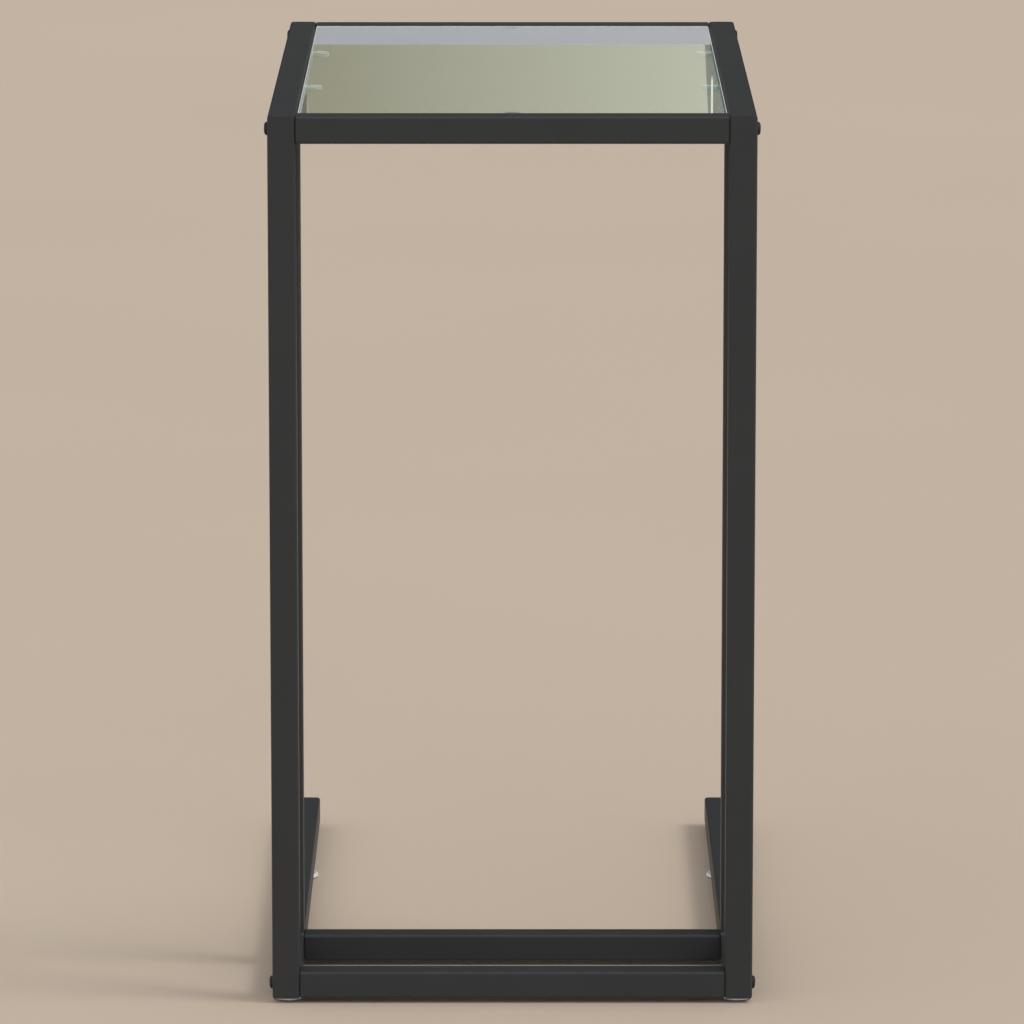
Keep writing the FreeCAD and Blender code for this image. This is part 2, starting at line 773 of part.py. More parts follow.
make_glass()
make_glass_supports()
make_feet()


# ---------------------------------------------------------------- checks and files

def check_document():
    """Stop if any object failed, or any sub-part has no sound shape."""
    doc.recompute()
    failed = [item.Label for item in doc.Objects if {"Invalid", "Error"} & set(item.State)]
    unsound = [item.Label for item in parts if item.Shape.isNull() or not item.Shape.isValid()]
    if failed or unsound:
        raise RuntimeError(f"failed objects: {failed}; unsound sub-parts: {unsound}")


def write_parts():
    os.makedirs("parts", exist_ok=True)
    for item in parts:
        item.Shape.exportStep(f"parts/{item.Label}.step")
        print(f"{item.Label}: {len(item.Shape.Solids)} solid(s), {item.Shape.Volume:.1f} mm3")


check_document()
write_parts()
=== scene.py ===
import math

import bmesh
import bpy
import numpy as np
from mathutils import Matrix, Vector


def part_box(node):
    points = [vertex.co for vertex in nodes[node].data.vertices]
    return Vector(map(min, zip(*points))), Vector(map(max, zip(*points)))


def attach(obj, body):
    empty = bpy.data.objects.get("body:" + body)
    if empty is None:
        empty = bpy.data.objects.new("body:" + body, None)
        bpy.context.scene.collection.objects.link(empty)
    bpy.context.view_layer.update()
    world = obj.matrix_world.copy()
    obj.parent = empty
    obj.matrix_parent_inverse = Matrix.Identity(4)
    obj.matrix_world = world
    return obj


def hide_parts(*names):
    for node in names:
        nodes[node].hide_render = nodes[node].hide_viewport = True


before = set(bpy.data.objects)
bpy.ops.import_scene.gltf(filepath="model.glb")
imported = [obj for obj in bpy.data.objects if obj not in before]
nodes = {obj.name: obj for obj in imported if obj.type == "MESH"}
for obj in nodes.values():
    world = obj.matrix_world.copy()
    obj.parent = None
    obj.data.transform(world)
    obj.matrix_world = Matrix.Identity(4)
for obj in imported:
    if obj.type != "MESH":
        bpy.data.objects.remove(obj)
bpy.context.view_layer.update()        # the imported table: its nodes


# ---- Posts and rails
# Square steel tube, 20 mm across, sawn and mitred and welded into two side frames, with four cross rails
# between them. All of it is powder coated in a satin anthracite black: the baked skin has a fine orange
# peel, runs thin and a little glossier over the rounded corners, which a painted highlight lightens, and
# keeps some dust where it faces up.

class Link:
    """One output of a shader node. A sum or product written with it adds the Math node for it."""

    def __init__(self, tree, socket):
        self.tree = tree
        self.socket = socket

    def maths(self, operation, *values):
        return self.tree.node("Math", {"operation": operation}, dict(enumerate(values)))

    def __add__(self, other):
        return self.maths("ADD", self, other)

    def __sub__(self, other):
        return self.maths("SUBTRACT", self, other)

    def __rsub__(self, other):
        return self.maths("SUBTRACT", other, self)

    def __mul__(self, other):
        return self.maths("MULTIPLY", self, other)

    __radd__ = __add__
    __rmul__ = __mul__

    def __abs__(self):
        return self.maths("ABSOLUTE", self)

    def largest(self, other):
        return self.maths("MAXIMUM", self, other)

    def step(self, low, high):
        """0 below low, 1 above high and a smooth rise between them."""
        settings = {"interpolation_type": "SMOOTHSTEP"}
        inputs = {"Value": self, "From Min": low, "From Max": high}
        return self.tree.node("MapRange", settings, inputs)


class Nodes:
    """A node tree that is being filled."""

    def __init__(self, tree):
        self.tree = tree

    def feed(self, socket, value):
        """Joins a link to a socket, or sets the socket to a plain value."""
        if isinstance(value, Link):
            self.tree.links.new(value.socket, socket)
        else:
            socket.default_value = value

    def node(self, kind, settings, inputs, output=0):
        """Adds a node: first its settings, then the values or links of its sockets; gives one output."""
        made = self.tree.nodes.new(f"ShaderNode{kind}")
        for name, value in settings.items():
            setattr(made, name, value)
        for socket, value in inputs.items():
            self.feed(made.inputs[socket], value)
        return Link(self, made.outputs[output])

    def direction(self, source):
        """The three parts of a direction that the Texture Coordinate node gives."""
        split = self.node("SeparateXYZ", {}, {"Vector": self.node("TexCoord", {}, {}, source)})
        return [Link(self, output) for output in split.socket.node.outputs]

    def mixed(self, share, first, second):
        """The first colour where share is 0, the second where it is 1."""
        return self.node("Mix", {"data_type": "RGBA"}, {0: share, 6: first, 7: second}, 2)


class Finish(Nodes):
    """A finish in the making: a Principled shader, whose unvarying values are set straight on it."""

    def __init__(self, name, values):
        self.material = bpy.data.materials.new(name)
        self.material.use_nodes = True
        super().__init__(self.material.node_tree)
        self.tree.nodes.clear()
        self.shader = self.tree.nodes.new("ShaderNodeBsdfPrincipled")
        self.output = self.tree.nodes.new("ShaderNodeOutputMaterial")
        self.tree.links.new(self.shader.outputs[0], self.output.inputs["Surface"])
        self.set(values)
        self.place = self.node("TexCoord", {}, {}, "Object")

    def set(self, values):
        """Feeds the shader's sockets by name."""
        for name, value in values.items():
            self.feed(self.shader.inputs[name], value)

    def noise(self, grain, detail=2.0):
        """Cloudy noise whose blotches are about grain metres across."""
        inputs = {"Vector": self.place, "Scale": 1 / grain, "Detail": detail}
        return self.node("TexNoise", {}, inputs)

    def bump(self, height, depth):
        """Raises the skin by height, from 0 to 1, times depth metres."""
        self.set({"Normal": self.node("Bump", {}, {"Height": height, "Distance": depth, "Strength": 1.0})})


def powder_coat():
    """Satin black. It is thin and glossier at a corner, where 1 less the largest part of the normal rises,
    and a painted highlight lightens it there. It is dusty in patches of noise where the normal's upward
    part is near 1."""
    anthracite = (0.0292, 0.0312, 0.0330, 1)
    paler = (0.0350, 0.0372, 0.0394, 1)
    painted_edge_highlight = (0.065, 0.067, 0.069, 1)
    dust_grey = (0.06, 0.057, 0.050, 1)
    finish = Finish("satin_powder_coat", {"IOR": 1.38, "Specular IOR Level": 0.4})
    across, along, up = finish.direction("Normal")
    corner = (1 - abs(across).largest(abs(along)).largest(abs(up))).step(0.02, 0.26)
    dust = up.step(0.8, 1.0) * finish.noise(0.006, 4.0).step(0.45, 0.75)
    cloud = finish.noise(0.07, 3.0)
    colour = finish.mixed(cloud, anthracite, paler)
    # painted highlight: the colour is lightened over the rounded corners
    colour = finish.mixed(corner * 0.2, colour, painted_edge_highlight)
    colour = finish.mixed(dust * 0.06, colour, dust_grey)
    peel = finish.noise(0.0022, 1.5)
    grit = finish.noise(0.0005)
    finish.set({"Base Color": colour, "Roughness": 0.41 + cloud * 0.07 + peel * 0.04 - corner * 0.06})
    finish.bump(peel * 0.8 + grit * 0.2, 0.00005)
    return finish.material


def put_on(material, *names):
    """Gives a finish to every slot of the named nodes."""
    for name in names:
        for slot in nodes[name].material_slots:
            slot.material = material


COAT = powder_coat()
SIDES = {"left": -1, "right": 1}
LENGTHS = ("front_post", "rear_post", "top_rail", "base_rail")
CROSS_RAILS = ("top_front", "top_rear", "base_front", "base_rear")
put_on(COAT, *(f"{side}_{length}" for side in SIDES for length in LENGTHS))
put_on(COAT, *(f"{rail}_rail" for rail in CROSS_RAILS))


# ---- Weld beads
# The side frames are welded in the inner corners of their mitres and across both faces of the rear posts;
# each glass tab has one short bead under its root. The flat seams are ground flush. A bead is a row of
# overlapping puddles, laid before the coat and covered by it.

MM = 0.001               # pieces are worked out in millimetres and kept in metres


def quads(number):
    """Four-sided faces between the neighbouring rows and columns of a grid of point numbers."""
    corners = (number[:-1, :-1], number[:-1, 1:], number[1:, 1:], number[1:, :-1])
    return np.stack(corners, axis=-1).reshape(-1, 4)


def skin(name, grids, material, crease=40):
    """Makes one closed mesh of grids of points; points that fall together, at a seam or a pole, become
    one. An edge stays sharp where its faces turn by more than crease degrees."""
    points, faces, first = [], [], 0
    for grid in grids:
        rows, columns = grid.shape[:2]
        faces.append(quads(first + np.arange(rows * columns).reshape(rows, columns)))
        points.append(grid.reshape(-1, 3))
        first += rows * columns
    mesh = bpy.data.meshes.new(name)
    mesh.from_pydata(np.concatenate(points).tolist(), [], np.concatenate(faces).tolist())
    work = bmesh.new()
    work.from_mesh(mesh)
    bmesh.ops.remove_doubles(work, verts=work.verts, dist=1e-7)
    bmesh.ops.recalc_face_normals(work, faces=work.faces)
    work.to_mesh(mesh)
    work.free()
    mesh.shade_smooth()
    mesh.set_sharp_from_angle(angle=math.radians(crease))
    mesh.materials.append(material)
    piece = bpy.data.objects.new(name, mesh)
    bpy.context.scene.collection.objects.link(piece)
    return piece


def full_turn(parts):
    """The angles of one whole turn in equal parts, as a row that ends where it began."""
    return np.linspace(0, 2 * np.pi, parts + 1)[None, :]


def bead(start, end, outward, width, height, pitch=1.6):
    """A weld bead from start to end: an oval, width across and height above the seam, whose size swings
    with the puddles by a cosine of the way along, its width less than its height, whose crest trails back,
    and which shrinks to a point in a quarter circle at either end."""
    swing, calm, trail, rows_each = 0.10, 0.6, 0.35, 6
    start, end, outward = (np.array(part, float) for part in (start, end, outward))
    length = np.linalg.norm(end - start)
    ahead = (end - start) / length
    outward /= np.linalg.norm(outward)
    aside = np.cross(ahead, outward)
    way = np.linspace(0, 1, int(length / pitch * rows_each))[:, None]
    turn = full_turn(16)
    from_end = np.minimum(way, 1 - way) * length / width
    fullness = np.sqrt(1 - np.clip(1 - 2 * from_end, 0, 1) ** 2)
    puddle = 1 + swing * np.cos(2 * np.pi * way * length / pitch)
    rise = height * fullness * puddle * np.cos(turn)
    spread = width / 2 * fullness * (calm + (1 - calm) * puddle) * np.sin(turn)
    advance = way * length - trail * pitch * fullness * np.cos(turn)
    parts = advance[..., None] * ahead + rise[..., None] * outward + spread[..., None] * aside
    return (start + parts) * MM


def edges(node):
    """A node's lowest and highest corners in millimetres."""
    return (np.array(corner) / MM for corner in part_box(node))


TAB_WIDTH = 10.4


def tab_middles(side):
    """How far back the middles of a side rail's two tabs are."""
    low, high = edges(f"{side}_glass_tabs")
    return low[1] + TAB_WIDTH / 2, high[1] - TAB_WIDTH / 2


TAB_BEAD = {"width": 2.2, "height": 0.8, "pitch": 1.0}
BEAD_REACH = TAB_WIDTH / 2 - 1       # a tab's bead stops 1 mm short of the tab's edges
POST_BEAD = {"width": 4.4, "height": 1.9}
OVERHANG = 0.4                       # a post's bead runs past the tube on either side
for side, sign in SIDES.items():
    post_low, post_high = edges(f"{side}_front_post")
    rear_low, rear_high = edges(f"{side}_rear_post")
    left, right = post_low[0] - OVERHANG, post_high[0] + OVERHANG
    beads = []
    for level, rise in ((rear_low[2], 1), (rear_high[2], -1)):
        for y, back in ((post_high[1], 1), (rear_low[1], -1), (rear_high[1], 1)):
            beads.append(bead((left, y, level), (right, y, level), (0, back, rise), **POST_BEAD))
    tab_low, tab_high = edges(f"{side}_glass_tabs")
    root = tab_low[0] if side == "left" else tab_high[0]
    for y in tab_middles(side):
        ends = [(root, y + reach, tab_low[2]) for reach in (-BEAD_REACH, BEAD_REACH)]
        beads.append(bead(*ends, (-sign, 0, -1), **TAB_BEAD))
    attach(skin(f"welds_{side}", beads, COAT), "frame")
for name, back in (("front", 1), ("rear", -1)):
    tab_low, tab_high = edges(f"{name}_glass_tab")
    root = tab_low[1] if name == "front" else tab_high[1]
    ends = [(x, root, tab_low[2]) for x in (-BEAD_REACH, BEAD_REACH)]
    tab_bead = bead(*ends, (0, back, -1), **TAB_BEAD)
    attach(skin(f"weld_{name}_tab", [tab_bead], COAT), "frame")


# ---- Threaded plugs
# Each end of a cross rail is closed by a turned steel plug, pressed in, with a thread for the bolt. Its
# thin flange stands the rail off the side frame and shows as a dark line. Blackened in a hot salt bath,
# like the bolts, so that the steel still glints where it is rubbed.

def black_oxide():
    """Blackened steel, rubbed paler and smoother where the noise is high."""
    blackened = (0.030, 0.030, 0.032, 1)
    rubbed = (0.10, 0.10, 0.105, 1)
    finish = Finish("black_oxide", {"Metallic": 0.85})
    wear = finish.noise(0.0012, 4.0).step(0.5, 0.8)
    colour = finish.mixed(wear * 0.5, blackened, rubbed)
    finish.set({"Base Color": colour, "Roughness": 0.42 - wear * 0.12})
    finish.bump(finish.noise(0.0004), 0.00001)
    return finish.material


BLACK_OXIDE = black_oxide()
put_on(BLACK_OXIDE, *(f"{rail}_plugs" for rail in CROSS_RAILS))


# ---- Bolts
# Eight M5 button-head bolts, 28.6 mm under the head, go through the side frames into the plugs. The head
# is cold formed with a hexagon socket, and the thread is rolled.

def ring(radius, height, turn):
    """Points round an axis: radius and height for each row, turn for each column."""
    radius, height, turn = np.broadcast_arrays(radius, height, turn)
    return np.stack((radius * np.cos(turn), radius * np.sin(turn), height), axis=-1)


def turned(outline, turn):
    """A profile carried round an axis: one row for each pair of radius and height."""
    outline = np.array(outline, float)
    return ring(outline[:, :1], outline[:, 1:], turn)


def thread(start, end, crest, depth, pitch, turn, rows_each=6):
    """A right-handed thread as radius and height: the radius falls from the crest by depth times a clipped
    triangle wave of height over pitch less the turn, and it runs out at both ends."""
    height = np.linspace(start, end, int(abs(end - start) / pitch * rows_each))[:, None]
    phase = (height / pitch - turn / (2 * np.pi)) % 1
    from_root = np.abs(phase - 0.5)
    groove = np.clip(1.5 - from_root * 4, 0, 1) * 0.5 + np.clip(0.5 - from_root, 0, 0.5)
    run_out = np.clip(np.minimum(height - start, end - height) / pitch, 0, 1)
    return crest - depth * groove * run_out, height


def hexagon(across_flats, turn):
    """Radius of a hexagon at each turn: half its width over the cosine of the turn from a flat's middle."""
    from_flat = (turn + np.pi / 6) % (np.pi / 3) - np.pi / 6
    return across_flats / 2 / np.cos(from_flat)


def set_down(points, foot, up, first):
    """Turns points so that their axis is up and their first direction is first, and moves them to foot."""
    up, first = np.array(up, float), np.array(first, float)
    return (np.array(foot) + points @ np.stack((first, np.cross(up, first), up))) * MM


def button_bolt():
    """A bolt on its axis, its seat at height 0: from the tip's pole up the thread, round the rim's quarter
    circle and the dome's quarter ellipse, over the socket's bevelled mouth and down its six walls to a
    drilled cone."""
    shank, diameter, pitch, groove = 28.6, 5.0, 0.8, 0.42
    rim_middle, rim_round = 4.6, 0.2
    crown, dome_width, dome_start, dome_height = 2.25, 2.55, 0.5, 1.9
    socket, socket_top, socket_floor, cone_point = 3.0, 2.22, 0.95, 0.65
    turn = full_turn(36)
    rim = np.linspace(-np.pi / 2, 0, 4)[:, None]
    dome = np.linspace(0, np.pi / 2, 12)[:, None]
    return np.concatenate([
        turned([(0, -shank), (1.7, -shank), (1.95, -shank + 0.1)], turn),
        ring(*thread(-shank + pitch, -pitch / 2, diameter / 2, groove, pitch, turn), turn),
        turned([(diameter / 2, -0.2), (2.75, 0)], turn),
        ring(rim_middle + rim_round * np.cos(rim), rim_round + rim_round * np.sin(rim), turn),
        ring(crown + dome_width * np.cos(dome), dome_start + dome_height * np.sin(dome), turn),
        turned([(1.95, 2.4), (1.85, 2.36)], turn),
        ring(hexagon(socket, turn) + 0.02, socket_top, turn),
        ring(hexagon(socket, turn), socket_floor, turn),
        turned([(0, cone_point)], turn),
    ])


BOLT = button_bolt()
FRAME_SIDE = 175         # from the middle of the table to a side frame's outer face
for rail in CROSS_RAILS:
    low, high = edges(f"{rail}_rail")
    tube_middle = (low + high) / 2
    bolts = []
    for side, sign in SIDES.items():
        seat = (FRAME_SIDE * sign, tube_middle[1], tube_middle[2])
        bolts.append(set_down(BOLT, seat, (sign, 0, 0), (0, 1, 0)))
    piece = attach(skin(f"bolts_{rail}", bolts, BLACK_OXIDE, 30), "frame")
    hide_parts(f"{rail}_bolts")


# ---- End caps
# Push-in caps close the open ends of the top and base rails: a domed face as wide as the tube on a hollow
# core with two ribs that grip the bore. Moulded in black plastic with a fine spark-eroded grain.

def rounded_square(half, corner, turn):
    """Distance from the middle to the outline of a square, half its width, with rounded corners: to the
    flat where the turn meets one, else to the corner's arc."""
    east, north = np.abs(np.cos(turn)), np.abs(np.sin(turn))
    flat = half / np.maximum(east, north)
    centre = half - corner
    toward = centre * (east + north)
    arc = toward + np.sqrt(np.maximum(corner ** 2 - 2 * centre ** 2 + toward ** 2, 0))
    on_flat = flat * np.minimum(east, north) <= centre
    return np.where(on_flat, flat, arc)


def end_cap():
    """A cap on its axis, its back on the tube's end at height 0: from the crest's pole the face falls as a
    ball of the dome's radius, turns over a quarter circle into the side, steps in to the ribbed core, and
    the core's wall comes back inside to close on the underside of the face."""
    half, corner, proud, dome, edge = 10.0, 2.0, 2.5, 65.0, 0.8
    bore, core, wall, core_end, underside = 8.75, 7.95, 1.2, -6.9, 0.9
    turn = full_turn(96)
    rows = []
    for share in np.linspace(0, 1, 13):
        radius = rounded_square(half - edge, corner - edge * 0.5, turn) * share
        rows.append(ring(radius, proud - radius ** 2 / (2 * dome), turn))
    side_top = rows[-1][..., 2] - edge
    for angle in np.linspace(0.2, 1, 5) * np.pi / 2:
        reach = half - edge + edge * np.sin(angle)
        bend = corner - edge * 0.5 * (1 - np.sin(angle))
        rows.append(ring(rounded_square(reach, bend, turn), side_top + edge * np.cos(angle), turn))
    profile = [(half, 0.05), (half - 0.1, 0.0), (bore - 0.35, 0.0), (core, -0.3)]
    for rib in (-2.2, -4.4):
        profile += [(core, rib + 0.9), (bore - 0.1, rib + 0.15), (bore, rib)]
        profile += [(bore - 0.25, rib - 0.35), (core, rib - 0.5)]
    profile += [(core, -6.4), (core - 0.4, core_end), (core - 1.0, core_end)]
    profile += [(core - wall, -6.6), (core - wall, underside)]
    for reach, height in profile:
        rows.append(ring(rounded_square(reach, min(corner, reach * 0.2), turn), height, turn))
    rows.append(turned([(0, underside)], turn))
    return np.concatenate(rows)


def moulded_black():
    """Black plastic, a little cloudy in colour, whose fine grain is also its roughness."""
    black = (0.017, 0.017, 0.018, 1)
    paler = (0.026, 0.026, 0.026, 1)
    finish = Finish("moulded_black", {"IOR": 1.5})
    grain = finish.noise(0.0006, 3.0)
    cloud = finish.noise(0.012)
    finish.set({"Base Color": finish.mixed(cloud, black, paler), "Roughness": 0.44 + grain * 0.14})
    finish.bump(grain, 0.00004)
    return finish.material


MOULDED_BLACK = moulded_black()
CAP = end_cap()
for side in SIDES:
    for level in ("top", "base"):
        low, high = edges(f"{side}_{level}_rail")
        foot = ((low[0] + high[0]) / 2, high[1], (low[2] + high[2]) / 2)
        grid = set_down(CAP, foot, (0, 1, 0), (1, 0, 0))
        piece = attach(skin(f"cap_{side}_{level}", [grid], MOULDED_BLACK, 50), "frame")
        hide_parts(f"{side}_{level}_cap")


# ---- Glass tabs and their pads
# Six flat steel tabs stand inside the top rails and carry the glass. Over each a silicone sleeve, moulded
# with a closed round end, is pulled from the tip, so that the glass never touches steel. The four on the
# side rails are milky, the two on the cross rails dark grey.

put_on(COAT, "left_glass_tabs", "right_glass_tabs", "front_glass_tab", "rear_glass_tab")


def silicone_sleeve():
    """A sleeve along its first direction, its open root at 0 and its underside at height 0. Each row is a
    rounded rectangle, as wide as a strip that ends in a half circle. The rows run from the tip of the bore
    back to the root, over its rim, and forward again outside to the tip."""
    length, width, height, wall = 13.5, 12.0, 3.0, 0.7
    neck = length - width / 2
    quarter = np.arange(4).repeat(5)
    turn = (quarter + np.tile(np.linspace(0, 1, 5), 4)) * np.pi / 2
    aside = np.array((1, -1, -1, 1))[quarter]
    above = np.array((1, 1, -1, -1))[quarter]
    nose = np.linspace(0, np.pi / 2, 13)

    def shell(half_width, half_height, corner, root):
        """The rows of one wall, from root to tip; in the round end their width follows a cosine."""
        along = np.concatenate(([root], neck + half_width * np.sin(nose)))[:, None]
        half = half_width * np.concatenate(([1.0], np.cos(nose)))[:, None]
        soft = np.minimum(corner, half)
        across = aside * (half - soft) + soft * np.cos(turn)
        rise = height / 2 + above * (half_height - corner) + corner * np.sin(turn) + 0 * along
        grid = np.stack((along + 0 * across, across, rise), axis=-1)
        return np.concatenate((grid, grid[:, :1]), axis=1)

    bore = shell(width / 2 - wall, height / 2 - wall, corner=0.05, root=0.0)
    rim = shell(width / 2 - 0.2, height / 2 - 0.2, corner=0.3, root=0.0)[:1]
    outside = shell(width / 2, height / 2, corner=0.5, root=0.25)
    return np.concatenate((bore[::-1], rim, outside))


def translucent(weight):
    """The shader values of a soft plastic that lets light travel about 2 mm under its skin."""
    return {"Subsurface Weight": weight, "Subsurface Radius": (0.002, 0.002, 0.002)}


def silicone():
    """Cloudy silicone: milky where it lies more than 80 mm from the table's middle line, on the side
    rails, and dark grey within 60 mm of it, on the cross rails."""
    milk = (0.92, 0.87, 0.93, 1)
    paler_milk = (0.96, 0.91, 0.97, 1)
    dark_grey = (0.050, 0.053, 0.052, 1)
    paler_dark_grey = (0.075, 0.078, 0.077, 1)
    finish = Finish("milky_silicone", {"IOR": 1.41, **translucent(0.1)})
    cloud = finish.noise(0.0025, 3.0)
    milky = finish.mixed(cloud, milk, paler_milk)
    dark_cloudy = finish.mixed(cloud, dark_grey, paler_dark_grey)
    colour = finish.mixed(abs(finish.direction("Object")[0]).step(0.06, 0.08), dark_cloudy, milky)
    finish.set({"Base Color": colour, "Roughness": 0.38 + cloud * 0.15})
    finish.bump(finish.noise(0.0007), 0.00002)
    return finish.material


SLEEVE = silicone_sleeve()
pad_low, pad_high = edges("glass_pads")
sleeves = []
for side, sign in SIDES.items():
    root = pad_low[0] if side == "left" else pad_high[0]
    for y in tab_middles(side):
        sleeves.append(set_down(SLEEVE, (root, y, pad_low[2]), (0, 0, 1), (-sign, 0, 0)))
for y, back in ((pad_low[1], 1), (pad_high[1], -1)):
    sleeves.append(set_down(SLEEVE, (0, y, pad_low[2]), (0, 0, 1), (0, back, 0)))
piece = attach(skin("silicone_pads", sleeves, silicone(), 60), "frame")
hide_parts("glass_pads")


# ---- Glass top
# A pane of 5 mm float glass with ground arrises, lying loose on the pads a little below the rails. Seen
# through its thickness it is clear, seen along it green; wiping has left faint smears.

def float_glass():
    """Clear glass whose body lets green light through best. It is frosted where the normal leans away from
    straight up or down, on the ground edges, and it lets a lamp's light through unbent."""
    glass_white = (0.98, 0.99, 0.98, 1)
    frost_white = (0.84, 0.89, 0.86, 1)
    let_through = (0.96, 0.97, 0.96, 1)
    body_green = (0.30, 0.80, 0.20, 1)
    finish = Finish("float_glass", {"IOR": 1.5, "Transmission Weight": 1.0})
    ground = 1 - abs(finish.direction("Normal")[2]).step(0.95, 0.999)
    smear = finish.noise(0.05, 3.0).step(0.45, 0.8)
    frost = finish.noise(0.0004)
    roughness = smear * 0.015 + ground * (0.4 + frost * 0.2)
    finish.set({"Base Color": glass_white, "Roughness": roughness})
    clear = Link(finish, finish.shader.outputs[0])
    frosted = finish.node("BsdfDiffuse", {}, {"Color": frost_white})
    pane = finish.node("MixShader", {}, {0: ground * (0.55 + frost * 0.3), 1: clear, 2: frosted})
    see_through = finish.node("BsdfTransparent", {}, {"Color": let_through})
    to_lamp = finish.node("LightPath", {}, {}, "Is Shadow Ray")
    whole = finish.node("MixShader", {}, {0: to_lamp, 1: pane, 2: see_through})
    finish.feed(finish.output.inputs["Surface"], whole)
    tint = finish.node("VolumeAbsorption", {}, {"Color": body_green, "Density": 14.0})
    finish.feed(finish.output.inputs["Volume"], tint)
    return finish.material


put_on(float_glass(), "glass_top")


# ---- Levelling feet
# A nut is welded inside the base rail over each hole. An M6 zinc plated stem screws into it, and its end is
# moulded into a pale nylon glide: a flat disc with a rounded rim, dished above and relieved below.

def zinc_plate():
    """Bright zinc, yellowed where its bloom is high, with a streaky sheen."""
    bright = (0.50, 0.51, 0.54, 1)
    yellowed = (0.58, 0.55, 0.47, 1)
    finish = Finish("zinc_plate", {"Metallic": 1.0})
    bloom = finish.noise(0.004, 3.0).step(0.35, 0.65)
    streak = finish.noise(0.0008, 3.0)
    colour = finish.mixed(bloom, bright, yellowed)
    finish.set({"Base Color": colour, "Roughness": 0.30 + streak * 0.22})
    finish.bump(streak, 0.00002)
    return finish.material


ZINC = zinc_plate()
put_on(ZINC, "foot_nuts")


def foot_stem(length):
    """A stem on its axis from height 0: a pole, a thread all the way up, a bevel and a pole."""
    radius, groove, pitch, bevel = 3.0, 0.55, 1.0, 0.7
    turn = full_turn(36)
    return np.concatenate([
        turned([(0, 0)], turn),
        ring(*thread(0.0, length - bevel, radius, groove, pitch, turn, rows_each=8), turn),
        turned([(radius - bevel, length), (0, length)], turn),
    ])


def nylon_glide(radius, height):
    """A glide on its axis, as a profile turned round it: the relieved underside, the tread, a quarter
    circle up to the rim, the rim's draft, a smaller quarter circle over it and the dished top."""
    edge, top_edge, draft, relief, dish = 1.0, 0.7, 0.15, 0.5, 0.25
    under = np.linspace(-np.pi / 2, 0, 7)
    over = np.linspace(0, np.pi / 2, 6)
    outline = [(0, relief), (7.0, relief), (7.6, 0.3), (7.9, 0.0)]
    outline += zip(radius - edge + edge * np.cos(under), edge + edge * np.sin(under))
    top_middle = radius - draft - top_edge
    outline += zip(top_middle + top_edge * np.cos(over), height - top_edge + top_edge * np.sin(over))
    outline += [(9.4, height), (8.9, height - dish), (5.2, height - dish), (4.7, height), (0, height)]
    return turned(outline, full_turn(72))


def pale_nylon():
    """Cloudy off-white nylon, darkened by a painted contact shade up to about 1 mm above the floor in a
    ragged line.
    """
    off_white = (0.78, 0.79, 0.78, 1)
    white = (0.86, 0.87, 0.87, 1)
    painted_shade_black = (0.05, 0.048, 0.045, 1)
    finish = Finish("pale_nylon", {"IOR": 1.53, **translucent(0.15)})
    cloud = finish.noise(0.006, 3.0)
    height = finish.direction("Object")[2]
    # painted shade: the glide darkens towards the floor, up to about 1 mm, where contact shadow falls
    floor_shade = 1 - (height + finish.noise(0.0009, 4.0) * 0.0002).step(0.0010, 0.0013)
    colour = finish.mixed(cloud, off_white, white)
    colour = finish.mixed(floor_shade * 0.9, colour, painted_shade_black)
    finish.set({"Base Color": colour, "Roughness": 0.40 + cloud * 0.14})
    finish.bump(finish.noise(0.0005, 3.0), 0.00002)
    return finish.material


NYLON = pale_nylon()
for side in SIDES:
    for end in ("front", "rear"):
        name = f"{side}_{end}"
        low, high = edges(f"{name}_glide")
        centre, across = (low + high) / 2, high - low
        foot = (centre[0], centre[1], low[2])
        glide = set_down(nylon_glide(across[0] / 2, across[2]), foot, (0, 0, 1), (1, 0, 0))
        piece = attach(skin(f"glide_{name}", [glide], NYLON), f"{name}_foot")
        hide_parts(f"{name}_glide")
        low, high = edges(f"{name}_stem")
        foot = (centre[0], centre[1], low[2])
        stem = set_down(foot_stem(high[2] - low[2]), foot, (0, 0, 1), (1, 0, 0))
        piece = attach(skin(f"stem_{name}", [stem], ZINC), f"{name}_foot")
        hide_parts(f"{name}_stem")


# ---- Studio floor and light
# The table stands on pale studio paper, far wider than the view. A soft sun shines from the upper right,
# and the sky fills the shadows.

def open_sheet(name, grid, material):
    """A sheet through a grid of points, with open edges."""
    rows, columns = grid.shape[:2]
    faces = quads(np.arange(rows * columns).reshape(rows, columns))
    mesh = bpy.data.meshes.new(name)
    mesh.from_pydata(grid.reshape(-1, 3).tolist(), [], faces.tolist())
    mesh.materials.append(material)
    sheet = bpy.data.objects.new(name, mesh)
    bpy.context.scene.collection.objects.link(sheet)
    return sheet


def studio_paper():
    """Matt paper, a shade uneven."""
    paper = (0.516, 0.420, 0.335, 1)
    paler = (0.546, 0.445, 0.355, 1)
    finish = Finish("studio_paper", {"Roughness": 0.9, "Specular IOR Level": 0.1})
    finish.set({"Base Color": finish.mixed(finish.noise(0.8), paper, paler)})
    return finish.material


def studio_sky():
    """A neutral sky, white in front of the table and fading to pale grey beyond it, by the part of the
    direction that points back."""
    white = (0.97, 0.98, 1.00, 1)
    pale_grey = (0.60, 0.61, 0.62, 1)
    world = bpy.data.worlds.new("studio")
    bpy.context.scene.world = world
    world.use_nodes = True
    sky = Nodes(world.node_tree)
    back = sky.direction("Generated")[1].step(-0.9, 0.9)
    sky.feed(world.node_tree.nodes["Background"].inputs["Color"], sky.mixed(back, white, pale_grey))


# The rows and columns lie at the cubes of even steps, so closer together near the table.
FLOOR_REACH = 40         # metres each way from the table
steps = np.linspace(-1, 1, 41) ** 3 * FLOOR_REACH
x, y = np.meshgrid(steps, steps)
floor = open_sheet("studio_floor", np.stack((x, y, 0 * x), axis=-1), studio_paper())

